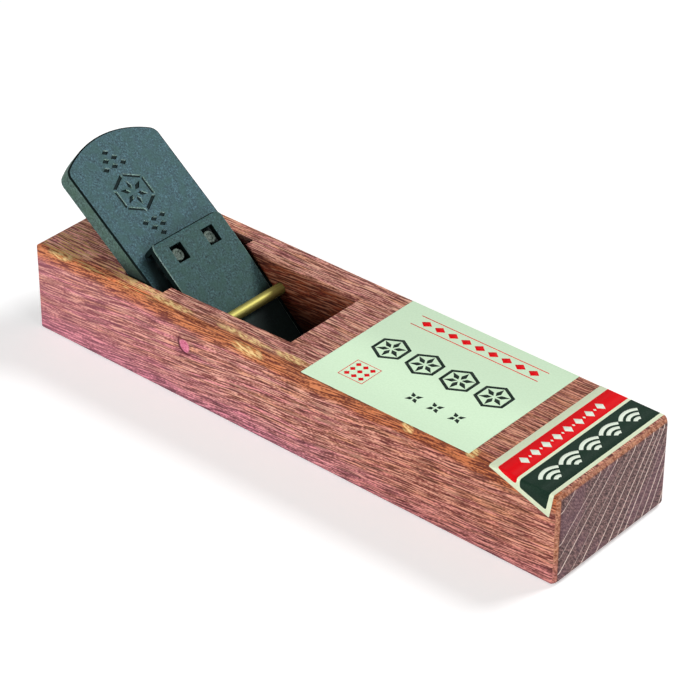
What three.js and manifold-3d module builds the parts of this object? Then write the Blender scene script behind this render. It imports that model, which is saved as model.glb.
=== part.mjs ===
// A small Japanese pull plane: a hardwood block, a slanted blade holder with a thin
// replaceable blade, and a press plate held down by a brass rod across the throat.
// Millimetres, +Z up. The origin is the middle of the sole. +X runs towards the front end,
// and the blade leans back towards the head end.

import * as THREE from 'three';
import { ConvexGeometry } from 'three/addons/geometries/ConvexGeometry.js';
import { mergeVertices } from 'three/addons/utils/BufferGeometryUtils.js';
import Module from 'manifold-3d';

const wasm = await Module();
wasm.setup();

// Block
const blockLength = 220;
const blockWidth = 56;
const blockHeight = 32.7;
const endChamfer = 1.5;

// Bed, throat and side grooves. The throat tapers from the notch to its front wall.
const bedAngleDegrees = 37.8;
const edgeFromHead = 87.8;
const throatRun = 16.6;
const throatSideGapAtNotch = 1.85;
const throatSideGapAtFront = 0.75;
const mouthGap = 1.2;
const mouthRise = 3;
const grooveSideClearance = 1;
const grooveMouthGap = 0.9;
const grooveTopGap = 7.4;
const bedClearance = 0.3;

// Blade holder. Places along the blade are measured up from the cutting edge.
const edgeRetract = 0.5;
const assemblyLength = 104.8;
const holderWidth = 42;
const holderThickness = 6.5;
const holderSetback = 1.4;
const holderBevelDegrees = 30;
const holderArris = 0.4;
const crownRadius = 36.8;
const headCornerRadius = 4;

// Replaceable blade and its pins
const bladeLength = 12;
const bladeThickness = 0.8;
const bladeBevelDegrees = 30;
const pinRadius = 1.5;
const pinSpacing = 26;
const pinFromEdge = 8;
const pinDepth = 2;
const pinHeadroom = 0.15;

// Press plate
const plateWidth = 32.3;
const plateThickness = 2.2;
const plateHeelFromEdge = 62.3;
const plateHeelHeight = 6.5;
const plateKneeFromHeel = 16.8;
const plateKneeHeight = 5.55;
const plateToeHeight = 1;
const plateToeSlant = 0.6;
const plateLipFromEdge = 1;
const heelBendRadius = 2.4;
const plateCornerRadius = 3;

// Windows in the press plate, and the studs in them
const windowSpacing = 15.1;
const windowFromHeel = 6.9;
const windowWidth = 5.2;
const windowLength = 6.3;
const studClearance = 0.3;
const studTopBelowPlate = 1.35;
const studHeadHeight = 1.8;
const studHeadRound = 0.5;
const studRimWidth = 0.45;
const studRecess = 0.4;
const studShankRadius = 1.7;
const studDepth = 4;

// Brass rod and its plug
const rodRadius = 2;
const rodFromEdge = 27.9;
const rodClearance = 0.25;
const rodFromFarSide = 3.9;
const plugRadius = 3.1;
const plugLength = 5;

// Paper labels
const paperThickness = 0.15;
const topLabelFromThroat = 13.7;
const labelMargin = 0.4;
const labelSpacing = 8.1;
const endLabelFromFront = 2.5;
const endLabelLength = 24;
const endLabelFlap = 8.6;

// Fits and cutting
const seatGap = 0.25;
const holeGap = 0.15;
const cutOverrun = 2;
const roundSides = 32;
const crownSteps = 28;
const bendSteps = 6;

const bedAngle = THREE.MathUtils.degToRad(bedAngleDegrees);
const holderBevel = THREE.MathUtils.degToRad(holderBevelDegrees);
const bladeBevel = THREE.MathUtils.degToRad(bladeBevelDegrees);

// Places along the block, from its middle
const headEnd = -blockLength / 2;
const frontEnd = blockLength / 2;
const edgeX = headEnd + edgeFromHead;
const notchX = edgeX - blockHeight / Math.tan(bedAngle) + grooveTopGap;
const throatX = edgeX + throatRun;
const endLabelX = frontEnd - endLabelFromFront - endLabelLength;
const nearSide = -blockWidth / 2;
const farSide = blockWidth / 2;

const paint = { color: 0x4b6468, roughness: 0.42, metalness: 0.35 };
const finishes = {
  wood: new THREE.MeshStandardMaterial({ color: 0xa5675a, roughness: 0.55, metalness: 0 }),
  plug: new THREE.MeshStandardMaterial({ color: 0xd07a90, roughness: 0.5, metalness: 0 }),
  brass: new THREE.MeshStandardMaterial({ color: 0xc2b34a, roughness: 0.25, metalness: 1 }),
  holder: new THREE.MeshStandardMaterial(paint),
  plate: new THREE.MeshStandardMaterial(paint),
  steel: new THREE.MeshStandardMaterial({ color: 0xb9bcbc, roughness: 0.25, metalness: 1 }),
  stud: new THREE.MeshStandardMaterial({ color: 0x8b9896, roughness: 0.4, metalness: 0.8 }),
  mint: new THREE.MeshStandardMaterial({ color: 0xd9f0d2, roughness: 0.7, metalness: 0 }),
  striped: new THREE.MeshStandardMaterial({ color: 0xe8ecd2, roughness: 0.6, metalness: 0 }),
};

// A closed solid from a three.js geometry
function solid(geometry) {
  const bare = geometry.clone();
  bare.deleteAttribute('normal');
  bare.deleteAttribute('uv');
  const merged = mergeVertices(bare);
  const corners = merged.index.array;
  const kept = [];
  for (let i = 0; i < corners.length; i += 3) {
    const [a, b, c] = corners.slice(i, i + 3);
    if (a !== b && b !== c && c !== a) kept.push(a, b, c);
  }
  return new wasm.Manifold(new wasm.Mesh({
    numProp: 3,
    vertProperties: new Float32Array(merged.attributes.position.array),
    triVerts: new Uint32Array(kept),
  }));
}

// A named mesh from a solid
function piece(name, shape, material) {
  const { vertProperties, triVerts } = shape.getMesh();
  const geometry = new THREE.BufferGeometry();
  geometry.setAttribute('position', new THREE.BufferAttribute(vertProperties, 3));
  geometry.setIndex(new THREE.BufferAttribute(triVerts, 1));
  geometry.computeVertexNormals();
  const mesh = new THREE.Mesh(geometry, material);
  mesh.name = name;
  return mesh;
}

// An outline in X and Z, drawn out along Y between two places
function across(outline, from, to) {
  const options = { depth: to - from, bevelEnabled: false, curveSegments: bendSteps };
  const geometry = new THREE.ExtrudeGeometry(outline, options);
  geometry.rotateX(Math.PI / 2);
  geometry.translate(0, to, 0);
  return solid(geometry);
}

// An outline in X and Y, drawn out upwards between two heights
function upright(outline, from, to) {
  const options = { depth: to - from, bevelEnabled: false, curveSegments: bendSteps };
  const geometry = new THREE.ExtrudeGeometry(outline, options);
  geometry.translate(0, 0, from);
  return solid(geometry);
}

function polygon(points) {
  return new THREE.Shape(points.map(([x, y]) => new THREE.Vector2(x, y)));
}

// A round bar along Y between two places
function crossBar(radius, x, z, from, to) {
  const geometry = new THREE.CylinderGeometry(radius, radius, to - from, roundSides);
  geometry.translate(x, (from + to) / 2, z);
  return solid(geometry);
}

// A round bar along Z between two heights
function uprightBar(radius, x, y, from, to) {
  const geometry = new THREE.CylinderGeometry(radius, radius, to - from, roundSides);
  geometry.rotateX(Math.PI / 2);
  geometry.translate(x, y, (from + to) / 2);
  return solid(geometry);
}

function box(low, high) {
  const size = high.map((value, axis) => value - low[axis]);
  const geometry = new THREE.BoxGeometry(...size);
  geometry.translate(...high.map((value, axis) => (value + low[axis]) / 2));
  return solid(geometry);
}

// The blade's own frame: +X up the blade from the cutting edge, +Z out of its top face
const bladeFrame = new THREE.Group();
bladeFrame.rotation.set(0, bedAngle, Math.PI);
bladeFrame.position.set(
  edgeX - edgeRetract * Math.cos(bedAngle),
  0,
  edgeRetract * Math.sin(bedAngle),
);
bladeFrame.updateMatrixWorld();

// The press plate's top face: a line from toe to knee, and a flatter one from knee to heel
const toeX = plateLipFromEdge + plateToeSlant;
const kneeX = plateHeelFromEdge - plateKneeFromHeel;
const windowX = plateHeelFromEdge - windowFromHeel;
const lowerSlope = (plateKneeHeight - plateToeHeight) / (kneeX - toeX);
const upperSlope = (plateHeelHeight - plateKneeHeight) / plateKneeFromHeel;

// The rod's axis, just clear of the plate's lower run
const rodLift = (rodRadius + rodClearance) * Math.sqrt(1 + lowerSlope ** 2);
const rodHeight = plateToeHeight + lowerSlope * (rodFromEdge - toeX) + rodLift;
const rodPlace = bladeFrame.localToWorld(new THREE.Vector3(rodFromEdge, 0, rodHeight));

// Half the throat's width at a place along the block
function halfThroat(x) {
  const share = (x - notchX) / (throatX - notchX);
  const gap = THREE.MathUtils.lerp(throatSideGapAtNotch, throatSideGapAtFront, share);
  return plateWidth / 2 + gap;
}

const rodEnd = farSide - rodFromFarSide;
const plugInner = nearSide + plugLength;

function makeBlock() {
  const topZ = blockHeight + cutOverrun;
  const bottomZ = -cutOverrun;

  // The rectangular block, chamfered round its front end
  const corners = [];
  for (const y of [-1, 1]) {
    for (const z of [0, 1]) {
      const outer = new THREE.Vector3(0, y * blockWidth / 2, z * blockHeight);
      const inset = new THREE.Vector3(0, -y * endChamfer, (1 - 2 * z) * endChamfer);
      corners.push(outer.clone().setX(headEnd));
      corners.push(outer.clone().setX(frontEnd - endChamfer));
      corners.push(outer.clone().add(inset).setX(frontEnd));
    }
  }
  const blank = solid(new ConvexGeometry(corners));

  // Lines of the bed, the grooves' upper walls and the throat's front wall, by height
  const bedDrop = (holderThickness + bedClearance) / Math.sin(bedAngle);
  const bed = (z) => edgeX - z / Math.tan(bedAngle) - bedDrop;
  const grooveFoot = edgeX + grooveMouthGap;
  const groove = (z) => THREE.MathUtils.lerp(grooveFoot, notchX, z / blockHeight);
  const mouthFront = edgeX + mouthGap;
  const wallRun = (throatX - mouthFront) / (blockHeight - mouthRise);
  const wall = (z) => mouthFront + (z - mouthRise) * wallRun;

  const throatOutline = polygon([
    [bed(bottomZ), bottomZ],
    [mouthFront, bottomZ],
    [mouthFront, mouthRise],
    [wall(topZ), topZ],
    [bed(topZ), topZ],
  ]);
  const plan = polygon([
    [headEnd, -halfThroat(headEnd)],
    [frontEnd, -halfThroat(frontEnd)],
    [frontEnd, halfThroat(frontEnd)],
    [headEnd, halfThroat(headEnd)],
  ]);
  const throat = across(throatOutline, nearSide, farSide)
    .intersect(upright(plan, bottomZ, topZ));

  const grooveOutline = polygon([
    [bed(bottomZ), bottomZ],
    [groove(bottomZ), bottomZ],
    [groove(topZ), topZ],
    [bed(topZ), topZ],
  ]);
  const halfGroove = holderWidth / 2 + grooveSideClearance;
  const grooves = across(grooveOutline, -halfGroove, halfGroove);

  const rodHoleEnd = rodEnd + seatGap;
  const rodHole = crossBar(rodRadius + holeGap, rodPlace.x, rodPlace.z, nearSide, rodHoleEnd);
  const plugHole = crossBar(
    plugRadius + holeGap,
    rodPlace.x,
    rodPlace.z,
    nearSide - cutOverrun,
    plugInner,
  );
  const cut = blank.subtract(throat).subtract(grooves).subtract(rodHole).subtract(plugHole);
  return piece('plane_block', cut, finishes.wood);
}

function makeRod() {
  const bar = crossBar(rodRadius, rodPlace.x, rodPlace.z, plugInner + seatGap, rodEnd);
  return piece('press_rod', bar, finishes.brass);
}

function makePlug() {
  const plug = crossBar(plugRadius, rodPlace.x, rodPlace.z, nearSide, plugInner);
  return piece('rod_plug', plug, finishes.plug);
}

// The holder seen from above: straight sides, small head corners and a broad crown
function holderPlan() {
  const half = holderWidth / 2;
  const crownX = assemblyLength - crownRadius;
  const filletY = half - headCornerRadius;
  const filletRun = Math.sqrt((crownRadius - headCornerRadius) ** 2 - filletY ** 2);
  const filletX = crownX + filletRun;
  const turn = Math.atan2(filletY, filletRun);
  const shape = new THREE.Shape();
  shape.moveTo(holderSetback, -half);
  shape.lineTo(filletX, -half);
  shape.absarc(filletX, -filletY, headCornerRadius, -Math.PI / 2, -turn);
  shape.absarc(crownX, 0, crownRadius, -turn, turn);
  shape.absarc(filletX, filletY, headCornerRadius, turn, Math.PI / 2);
  shape.lineTo(holderSetback, half);
  return shape;
}

// Where the two studs and the two pins stand across the blade, the far one first
const studPlaces = [-windowSpacing / 2, windowSpacing / 2];
const pinPlaces = [-pinSpacing / 2, pinSpacing / 2];
const ledge = bladeThickness + seatGap;

function makeHolder() {
  const geometry = new THREE.ExtrudeGeometry(holderPlan(), {
    depth: holderThickness - 2 * holderArris,
    bevelThickness: holderArris,
    bevelSize: holderArris,
    bevelOffset: -holderArris,
    bevelSegments: 1,
    curveSegments: crownSteps,
  });
  geometry.translate(0, 0, holderArris - holderThickness);
  let holder = solid(geometry);

  // The lower end is bevelled away from the sole
  const drop = holderThickness - ledge + cutOverrun;
  const bevel = polygon([
    [holderSetback - cutOverrun, -ledge],
    [holderSetback, -ledge],
    [holderSetback + drop / Math.tan(holderBevel), -ledge - drop],
    [holderSetback - cutOverrun, -ledge - drop],
  ]);
  holder = holder.subtract(across(bevel, -holderWidth, holderWidth));

  // The replaceable blade lies in a step, flush with the top face
  const stepEnd = bladeLength + seatGap;
  holder = holder.subtract(box(
    [-cutOverrun, -holderWidth, -ledge],
    [stepEnd, holderWidth, cutOverrun],
  ));
  for (const y of pinPlaces) {
    const hole = uprightBar(pinRadius + holeGap, pinFromEdge, y, -ledge - pinDepth, cutOverrun);
    holder = holder.subtract(hole);
  }
  for (const y of studPlaces) {
    const hole = uprightBar(studShankRadius + holeGap, windowX, y, -studDepth, cutOverrun);
    holder = holder.subtract(hole);
  }
  return piece('blade_holder', holder, finishes.holder);
}

function makeBlade() {
  const outline = polygon([
    [0, 0],
    [bladeThickness / Math.tan(bladeBevel), -bladeThickness],
    [bladeLength, -bladeThickness],
    [bladeLength, 0],
  ]);
  let blade = across(outline, -holderWidth / 2, holderWidth / 2);
  for (const y of pinPlaces) {
    const hole = uprightBar(pinRadius + holeGap, pinFromEdge, y, -cutOverrun, cutOverrun);
    blade = blade.subtract(hole);
  }
  return piece('cutting_blade', blade, finishes.steel);
}

function makePin(name, y) {
  const bottom = seatGap - ledge - pinDepth;
  const pin = uprightBar(pinRadius, pinFromEdge, y, bottom, -pinHeadroom);
  return piece(name, pin, finishes.steel);
}

// Height of the plate's top face on its upper run
const plateTop = (x) => plateKneeHeight + upperSlope * (x - kneeX);

function makePlate() {
  // The plate's underside is its top face moved down by the plate's thickness
  const lowerDrop = plateThickness * Math.sqrt(1 + lowerSlope ** 2);
  const footEnd = toeX + (seatGap + lowerDrop - plateToeHeight) / lowerSlope;
  const kneeUnder = plateKneeHeight - plateThickness;
  const heelInner = plateHeelFromEdge - plateThickness;
  const heelUnder = plateTop(heelInner) - plateThickness;

  const side = new THREE.Shape();
  side.moveTo(plateLipFromEdge, seatGap);
  side.lineTo(footEnd, seatGap);
  side.lineTo(kneeX, kneeUnder);
  side.lineTo(heelInner, heelUnder);
  side.lineTo(heelInner, seatGap);
  side.lineTo(plateHeelFromEdge, seatGap);
  side.lineTo(plateHeelFromEdge, plateHeelHeight - heelBendRadius);
  side.quadraticCurveTo(
    plateHeelFromEdge,
    plateHeelHeight,
    plateHeelFromEdge - heelBendRadius,
    plateTop(plateHeelFromEdge - heelBendRadius),
  );
  side.lineTo(kneeX, plateKneeHeight);
  side.lineTo(toeX, plateToeHeight);

  // Seen from above the two heel corners are rounded
  const half = plateWidth / 2;
  const cornerX = plateHeelFromEdge - plateCornerRadius;
  const cornerY = half - plateCornerRadius;
  const plan = new THREE.Shape();
  plan.moveTo(0, -half);
  plan.lineTo(cornerX, -half);
  plan.absarc(cornerX, -cornerY, plateCornerRadius, -Math.PI / 2, 0);
  plan.absarc(cornerX, cornerY, plateCornerRadius, 0, Math.PI / 2);
  plan.lineTo(0, half);

  const above = plateHeelHeight + cutOverrun;
  let plate = across(side, -half - cutOverrun, half + cutOverrun)
    .intersect(upright(plan, -cutOverrun, above));
  for (const y of studPlaces) {
    plate = plate.subtract(box(
      [windowX - windowLength / 2, y - windowWidth / 2, seatGap],
      [windowX + windowLength / 2, y + windowWidth / 2, above],
    ));
  }
  return piece('press_plate', plate, finishes.plate);
}

// A stud: a shank in the holder and a round-edged head in the plate's window, hollowed on top
function makeStud(name, y) {
  const head = windowWidth / 2 - studClearance;
  const top = plateTop(windowX) - studTopBelowPlate;
  const bottom = seatGap - studDepth;
  const outline = new THREE.Path();
  outline.moveTo(0, bottom);
  outline.lineTo(studShankRadius, bottom);
  outline.lineTo(studShankRadius, top - studHeadHeight);
  outline.lineTo(head, top - studHeadHeight);
  outline.lineTo(head, top - studHeadRound);
  outline.quadraticCurveTo(head, top, head - studHeadRound, top);
  outline.lineTo(head - studHeadRound - studRimWidth, top);
  outline.lineTo(head - studHeadRound - studRimWidth - studRecess, top - studRecess);
  outline.lineTo(0, top - studRecess);
  const geometry = new THREE.LatheGeometry(outline.getPoints(bendSteps), roundSides);
  geometry.rotateX(Math.PI / 2);
  geometry.translate(windowX, y, 0);
  return piece(name, solid(geometry), finishes.stud);
}

function makeTopLabel() {
  const paper = box(
    [throatX + topLabelFromThroat, nearSide + labelMargin, blockHeight],
    [endLabelX - labelSpacing, farSide - labelMargin, blockHeight + paperThickness],
  );
  return piece('top_label', paper, finishes.mint);
}

// The striped label lies across the top and folds over the near edge as a pointed flap
function makeEndLabel() {
  const start = endLabelX;
  const end = start + endLabelLength;
  const top = blockHeight + paperThickness;
  const outerSide = nearSide - paperThickness;
  const sheet = box([start, outerSide, blockHeight], [end, farSide, top]);
  const flap = polygon([
    [start, top],
    [start, blockHeight],
    [end, blockHeight - endLabelFlap],
    [end, top],
  ]);
  const folded = sheet.add(across(flap, outerSide, nearSide));
  return piece('end_label', folded, finishes.striped);
}

const plane = new THREE.Group();
plane.add(makeBlock(), makeRod(), makePlug(), makeTopLabel(), makeEndLabel());
bladeFrame.add(makeHolder(), makeBlade(), makePlate());
const [farPin, nearPin] = pinPlaces;
const [farStud, nearStud] = studPlaces;
bladeFrame.add(makePin('blade_pin_far', farPin), makePin('blade_pin_near', nearPin));
bladeFrame.add(makeStud('plate_stud_far', farStud), makeStud('plate_stud_near', nearStud));
plane.add(bladeFrame);

export default plane;
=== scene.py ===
import math
from functools import partialmethod

import bmesh
import bpy
from mathutils import Matrix, Quaternion, Vector


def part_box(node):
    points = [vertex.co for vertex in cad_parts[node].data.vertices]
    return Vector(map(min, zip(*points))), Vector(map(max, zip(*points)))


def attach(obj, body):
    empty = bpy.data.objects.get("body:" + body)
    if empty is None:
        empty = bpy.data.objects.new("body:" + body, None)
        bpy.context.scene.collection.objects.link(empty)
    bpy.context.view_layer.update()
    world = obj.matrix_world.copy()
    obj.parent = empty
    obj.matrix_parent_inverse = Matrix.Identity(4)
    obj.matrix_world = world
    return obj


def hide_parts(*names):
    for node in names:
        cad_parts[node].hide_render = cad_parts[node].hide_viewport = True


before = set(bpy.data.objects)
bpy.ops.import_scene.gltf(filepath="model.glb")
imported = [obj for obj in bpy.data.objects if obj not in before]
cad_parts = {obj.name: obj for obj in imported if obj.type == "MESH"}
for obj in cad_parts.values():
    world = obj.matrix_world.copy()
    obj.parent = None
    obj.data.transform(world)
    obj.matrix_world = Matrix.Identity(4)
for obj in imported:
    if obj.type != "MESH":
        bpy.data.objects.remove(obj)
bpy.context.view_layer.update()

MM = 0.001

# The photograph's camera, in millimetres and degrees, and its range in metres
CAMERA_PLACE = (501.18, -578.67, 525.11)
CAMERA_AIM = (11.57, -7.96, 32.72)
CAMERA_ROLL = 0.19
CAMERA_LENS = 146.28
SENSOR_WIDTH = 36
CAMERA_RANGE = (0.01, 20)

# The floor: half its width in metres, its distance below the object and where it starts and
# ends to fade to white in millimetres, and its shares of grey and glow
FLOOR_REACH = 3
FLOOR_DROP = 0.05
FLOOR_FADE = (180, 420)
FLOOR_GREY = 0.8
FLOOR_GLOW = 0.44

# Light from all round, and the lamps: place and width in metres, and power in watts
AMBIENT = 0.18
LAMP_AIM = (0, 0, 0.02)
LAMPS = (
    ("key", (0.35, 0.85, 1.05), 0.5, 12.8),
    ("fill", (-0.45, -1.35, 0.35), 0.8, 17.5),
    ("front", (1.3, -0.3, 0.35), 0.6, 5),
)

# Block and bed, in millimetres and degrees. The bed meets the sole at EDGE_X, and the edge
# rests a little way up it
BLOCK_LENGTH = 220
BLOCK_WIDTH = 56
BLOCK_HEIGHT = 32.7
BED_ANGLE = 37.8
EDGE_X = -22.2
EDGE_RETRACT = 0.5
FRONT_END = BLOCK_LENGTH / 2
FRONT_CHAMFER = 1.5
NEAR_SIDE = -BLOCK_WIDTH / 2
FAR_SIDE = BLOCK_WIDTH / 2

# Rounded edges: widths in millimetres, steps, profile, and the sides of round pieces
BLOCK_EDGE = 0.7
THROAT_EDGE = 0.15
HOLDER_EDGE = 0.16
PLATE_EDGE = 0.25
BLADE_EDGE = 0.06
PLUG_EDGE = 0.05
SMALL_EDGE = 0.12
EDGE_STEPS = 4
ROUND_PROFILE = 0.5
ROUND_SIDES = 96

# The least turn that counts as an edge, and the most that counts as flat, in degrees
SHARP_ANGLE = 28
FLAT_ANGLE = 0.3

# How close points of a CAD mesh join, and what still counts as touching
WELD = 0.001
HOLDER_WELD = 0.08
PLATE_WELD = 0.15
NEARNESS = 0.01

# The rod, the plug that closes its hole, the plug's pink stain, and the glue round it
ROD_AXIS = (-40.9, 22.2)
ROD_RADIUS = 2
PLUG_RADIUS = 3.1
PLUG_FIT = 3.22
PLUG_STAIN = (-42.1, 21.1)
PLUG_STAIN_RADIUS = 2.5
GLUE_PLACE = (ROD_AXIS[0] - 0.25, ROD_AXIS[1] - 0.2)

# The holder: half its width, the width of its solid's arris, the least height of its top,
# and where up the blade its crown starts and its cutting end's bevel ends
HOLDER_HALF_WIDTH = 21
HOLDER_ARRIS = 0.4
HOLDER_TOP = -HOLDER_ARRIS - 0.05
CROWN_START = 85
BEVEL_END = 14

# The press plate: half its width, its upper end, the stretch and the half width that hold
# its windows, and how little its heel faces up where it gets painted shade
PLATE_HALF_WIDTH = 16.15
PLATE_HEEL = 62.3
PLATE_WINDOWS = (46, PLATE_HEEL - 3)
WINDOWS_HALF_WIDTH = PLATE_HALF_WIDTH - 3.5
HEEL_FACING = 0.766

# The ornament in the holder: place up the blade and across it, radius, depth and taper. Its
# star, its rim and each row of lozenges, with its count, follow the radius
STAMP_PLACE = (82, 3)
STAMP_RADIUS = 6.4
STAMP_DEPTH = 0.45
STAMP_TAPER = 0.38
STAMP_STAR_SHARE = 0.92
STAMP_RIM_SHARE = 1.28
STAMP_RIM_GAP = 0.3
STAMP_ROW_SHARES = ((1.72, 3), (2.16, 2), (2.6, 1))
STAMP_LOZENGE = (2.6, 3.8)
STAMP_LOZENGE_STEP = 3.9
# The side that the ornament's walls face where they get a painted highlight
HIGHLIGHT_SIDE = Vector((0.35, -0.93, 0))

# The corners of a star's petal: outwards, and aside as shares of half its angle
PETAL_SHARES = ((0.14, 0), (0.5, -0.72), (1, 0), (0.5, 0.72))

# Paper and ink: thickness, steps of a corner, and the labels' places along and across
PAPER = 0.11
INK = 0.02
CORNER_STEPS = 5
TOP_LABEL = (8.1, 75.4)
TOP_LABEL_EDGE = 27.5
TOP_LABEL_CORNER = 0.3
END_LABEL = (83.5, 107.6)
END_LABEL_TIP = (106.3, -8.4)
END_LABEL_CORNERS = (0.2, 0.3, 6, 0, 0)
END_LABEL_BORDER = 1.75
END_LABEL_NEAR_SHARE = 0.7
RED_BAND = (86.3, 94)
RED_BAND_CORNERS = (1.1, 1.1, 0, 0)
GREEN_BAND = (95.2, 106.2)
GREEN_BAND_CORNERS = (1.1, 0.7, 4, 0, 0)
GREEN_BAND_FOOT = 1.1
GREEN_BAND_LIFT = 0.8

# The end label's folds round the long arrises: radius, half the near fold's length, and
# where the far one begins, measured from the middle of the near one
FOLD_RADIUS = BLOCK_EDGE + PAPER
HALF_FOLD = FOLD_RADIUS * math.pi / 4
FAR_FOLD = HALF_FOLD + BLOCK_WIDTH - 2 * BLOCK_EDGE
FAR_FOLD_DEGREES = 50
FOLD_STEPS = 6
FAR_FOLD_STEPS = 3

# Ornaments on the top label. A row has its first centre, its step and its count
STAR_ROW = ((TOP_LABEL[0] + 13, 1), (13.8, 0), 4)
STAR_RADIUS = 5
HEXAGON_RADII = (6.6, 5.3)
FLOWER_ROW = ((TOP_LABEL[0] + 36, -15.5), (8.4, 0), 3)
FLOWER_RADIUS = 3
LOZENGE_ROW = ((TOP_LABEL[0] + 12.4, 19.5), (5.4, 0), 9)
LOZENGE = (4.2, 3.4)
LINE_PLACES = (16.4, 22.3)
LINE_WIDTH = 0.35
LINE_MARGIN = 8
LATTICE_PLACE = (TOP_LABEL[0] + 14, -15.5)
LATTICE_RADII = (7, 6.65)
LATTICE_STEP = 2.9
LATTICE_LOZENGE = (2.2, 2.2)

# Ornaments on the end label: lozenges and dots on the red band, waves on the green one
BAND_LOZENGE_ROW = ((sum(RED_BAND) / 2, 8.5), (0, 5.4), 8)
BAND_LOZENGE = (4.2, 3)
BAND_DOT_ROW = ((sum(RED_BAND) / 2, 11.2), (0, 5.4), 7)
BAND_DOT = (1.3, 0.9)
WAVE_ROW = ((sum(GREEN_BAND) / 2 + 3.9, 8.2), (0, 10), 5)
WAVE_RADII = (7.2, 4.9, 2.6)
WAVE_STROKE = 1.35
WAVE_DEGREES = (138, 222)
WAVE_STEPS = 10

# The grain: how much it climbs per millimetre towards the front, on the sides and on top,
# and how far it wanders in long and in short swings
GRAIN_CLIMB = 0.09
GRAIN_CLIMB_ON_TOP = 0.02
GRAIN_SWAY = 4
GRAIN_RIPPLE = 0.8

# Where the wood changes, each from none to full: top face, sawn ends, chamfer, and the strip
# along the near top arris
TOP_FACE = (BLOCK_HEIGHT - 0.5, BLOCK_HEIGHT - 0.1)
SAWN_END = (FRONT_END - 1, FRONT_END - 0.6)
CHAMFER = (FRONT_END - 1.7, FRONT_END - 1.2)
NEAR_STRIP = (NEAR_SIDE + 9.5, NEAR_SIDE + 8)

# The orange band on that strip: down the side, over the top face, and its raggedness
ORANGE_DOWN = (-6.5, -3.5)
ORANGE_OVER = (4.5, 1.5)
ORANGE_RAGGED = 9

# Tints, along the block and in height: pink drifts, a rosy foot, rosy wood towards the head,
# duller wood in front, and painted shade along the arris round the sole
PINK_ALONG = (60, -30)
FOOT_ALONG = (60, -20)
FOOT_HEIGHT = (18, 7)
FOOT_RAGGED = 12
ROSY_ALONG = (0, -FRONT_END)
ROSY_HEIGHT = (BLOCK_HEIGHT - 1, BLOCK_HEIGHT - 6)
DULL_ALONG = (0, 60)
DULL_HEIGHT = (BLOCK_HEIGHT - 1, BLOCK_HEIGHT - 0.2)
SOLE_SHADE_HEIGHT = (1.4, 0.3)

# Painted light on the top face behind the blade, and its yellow streaks by their distance across
BEHIND_ALONG = (-52, -64)
BEHIND_LIGHT_GAIN = (157.6, 141.9, 144.3)
YELLOW_ACROSS = (NEAR_SIDE + 17, NEAR_SIDE + 8)

# The throat's walls: below the top, above the sole, within the sides, and the painted shade's
# height
THROAT_TOP = (BLOCK_HEIGHT - 0.3, BLOCK_HEIGHT - 3)
THROAT_FOOT = (0.3, 1)
THROAT_SIDE = (FAR_SIDE - 0.9, FAR_SIDE - 1.5)
THROAT_SHADE_HEIGHT = (23, 8)

# Painted shade: beside the plate and wider lower down, up the blade, on the holder's sides, and
# on the plate below the rod, with a climb to its far end. Its colour, and the paint's contrast
SHADE_BESIDE = (PLATE_HALF_WIDTH + 3.4, PLATE_HALF_WIDTH - 0.6)
SHADE_WIDENS = 2.4
SHADE_WIDENS_ALONG = (62, 44)
SHADE_ALONG = (PLATE_HEEL + 1.2, PLATE_HEEL - 3.5)
SIDE_SHADE_HEIGHT = (BLOCK_HEIGHT + 7.5, BLOCK_HEIGHT - 0.5)
TOE_SHADE_HEIGHT = (20.8, 17)
TOE_SHADE_CLIMB = 0.4
TOE_SHADE_CLIMB_START = 3
SHADE_COLOUR = (9, 17, 16)
PAINT_CONTRAST = 0.42

# The sawn ends: the tree's middle across and above, and the pale rays, each with its place
# along the top from the near side, and its strength
PITH = (64, 94.5)
RAY_HALF_WIDTH = 0.27
RAYS = (
    (-6.5, 0.6), (9.7, 0.85), (22, 0.85), (26.1, 0.45),
    (30.2, 1), (36, 0.4), (39.2, 1), (44.4, 0.85),
    (48.5, 1), (51.5, 0.7), (54.1, 0.95), (57, 0.4),
    (60, 0.85), (62.6, 0.7), (65.8, 0.8), (71, 0.5),
)

# Pale flecks by the near top arris, and their lean in degrees: place along the block and
# from the arris (negative down the side), half length and half width
FLECK_LEAN = -16
FLECKS = (
    (-99, 1, 5.5, 2.4), (-66, 4.6, 11, 1.7), (-50, 2.9, 10, 1.5), (-19, 4, 12, 1.5),
    (-14, -1, 6.5, 2.2), (1, 4.4, 8, 1.6), (52, -0.8, 2.2, 2.2), (76, 1.6, 2, 2.6),
)


def linear(colour):
    """A colour in 0 to 255 steps, as the linear one that Blender wants. A socket stays."""
    if isinstance(colour, bpy.types.NodeSocket):
        return colour
    shares = [value / 255 for value in colour]
    return (*(s / 12.92 if s <= 0.04045 else ((s + 0.055) / 1.055) ** 2.4 for s in shares), 1)


def add_node(tree, kind, inputs, **settings):
    """Adds a node with its settings and inputs. Returns its outputs."""
    node = tree.nodes.new("ShaderNode" + kind)
    for name, value in settings.items():
        setattr(node, name, value)
    for key, value in inputs.items():
        if isinstance(value, bpy.types.NodeSocket):
            tree.links.new(value, node.inputs[key])
        else:
            node.inputs[key].default_value = value
    return node.outputs


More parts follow.
